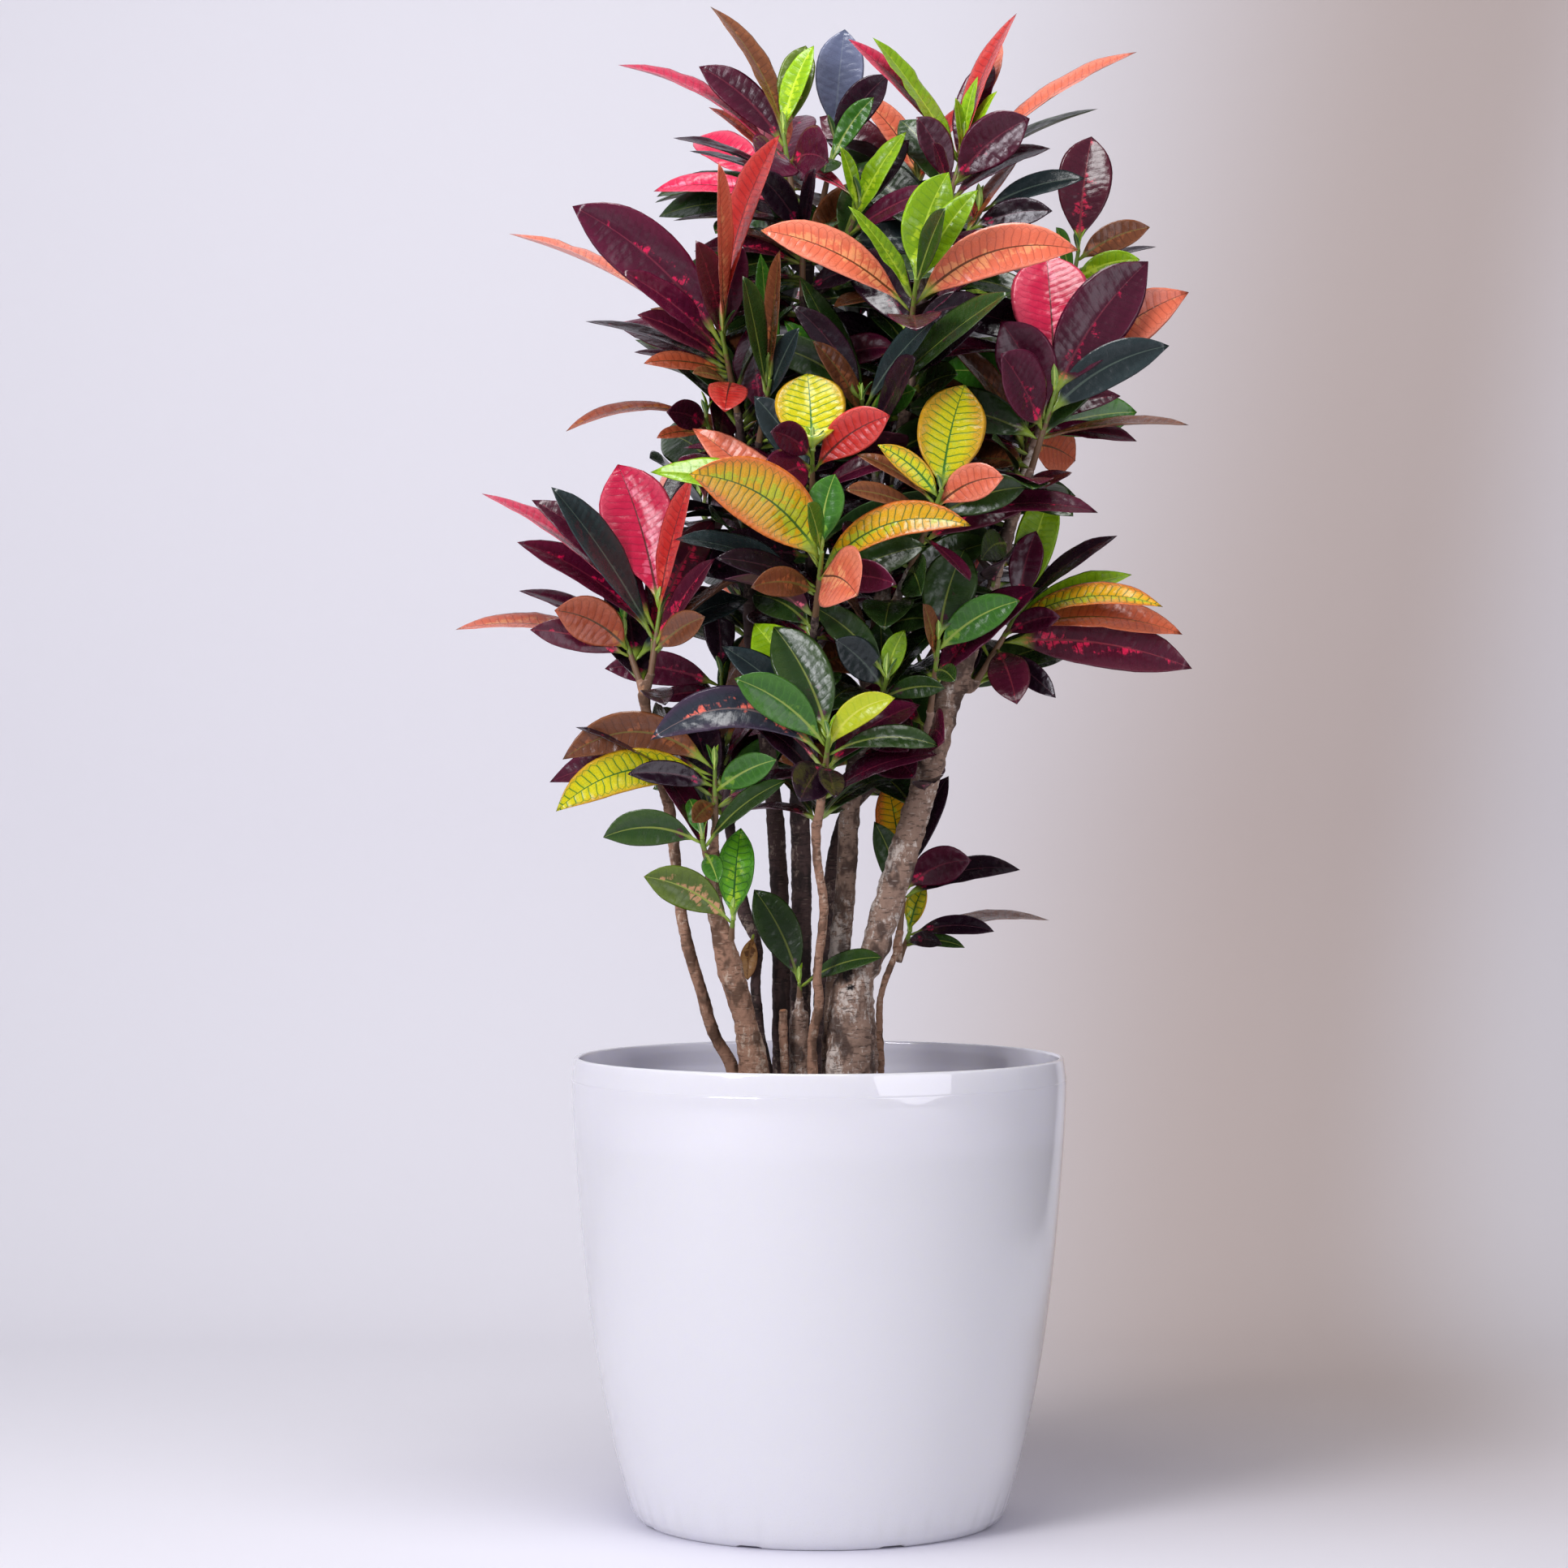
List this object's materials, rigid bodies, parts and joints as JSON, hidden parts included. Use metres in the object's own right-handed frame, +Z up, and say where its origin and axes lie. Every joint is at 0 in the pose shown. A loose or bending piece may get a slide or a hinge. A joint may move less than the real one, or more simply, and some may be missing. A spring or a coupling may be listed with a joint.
{
  "type": "potted croton",
  "caption": "Bushy house plant with upright woody canes and leathery leaves in many colours, growing in a round tapered glossy planter that stands on its flat base.",
  "frame": {"origin": "centre of the planter's flat underside, which rests on the surface", "axes": "+Z up along the planter's axis, -Y towards the viewer of the picture, +X to that viewer's right"},
  "size_m": [0.4444, 0.35, 0.93],
  "materials": {
    "pot": "injection-moulded white polypropylene, high gloss",
    "soil": "moist peat-based potting soil, matt and crumbly",
    "bark": "grey-brown living bark, rough and mottled",
    "foliage": "leathery waxy leaves, glossy, in maroon, green, pink, salmon, yellow and lime"
  },
  "bodies": {
    "root": {"pot": "pot", "soil": "soil", "cane_left_slender": "bark", "cane_left_stout": "bark", "cane_dark_left": "bark", "cane_back_slender": "bark", "cane_centre_dark": "bark", "cane_front_slender": "bark", "cane_middle": "bark", "cane_back_dark": "bark", "cane_main": "bark", "cane_cut_stub": "bark", "cane_short_stub": "bark", "cane_right_thin": "bark", "shoot_crest_left": "foliage", "shoot_crest_middle": "foliage", "shoot_crest_right": "foliage", "shoot_upper_left": "foliage", "shoot_upper_middle": "foliage", "shoot_front_top": "foliage", "shoot_right_top": "foliage", "shoot_right_back_top": "foliage", "shoot_left_top": "foliage", "shoot_right_large": "foliage", "shoot_right_fan": "foliage", "shoot_heart_dark": "foliage", "shoot_heart_left": "foliage", "shoot_left_low_top": "foliage", "shoot_gold_middle": "foliage", "shoot_gold_left": "foliage", "shoot_gold_right": "foliage", "shoot_pink_left": "foliage", "shoot_pink_left_low": "foliage", "shoot_back_left_low": "foliage", "shoot_right_low": "foliage", "shoot_right_low_front": "foliage", "shoot_green_front": "foliage", "shoot_green_middle": "foliage", "shoot_left_leaf_fan": "foliage", "shoot_left_leaf_low": "foliage", "shoot_left_cane_sprout": "foliage", "shoot_stub_sprout": "foliage", "shoot_right_back_low": "foliage", "shoot_right_back_sprout": "foliage", "shoot_back_low_left": "foliage", "shoot_back_low_middle": "foliage", "shoot_back_low_right": "foliage", "shoot_back_middle_left": "foliage", "shoot_back_middle": "foliage", "shoot_back_middle_right": "foliage", "shoot_back_upper_left": "foliage", "shoot_back_upper": "foliage", "shoot_back_upper_right": "foliage", "shoot_back_crest_left": "foliage", "shoot_back_crest_right": "foliage"}
  },
  "joints": []
}
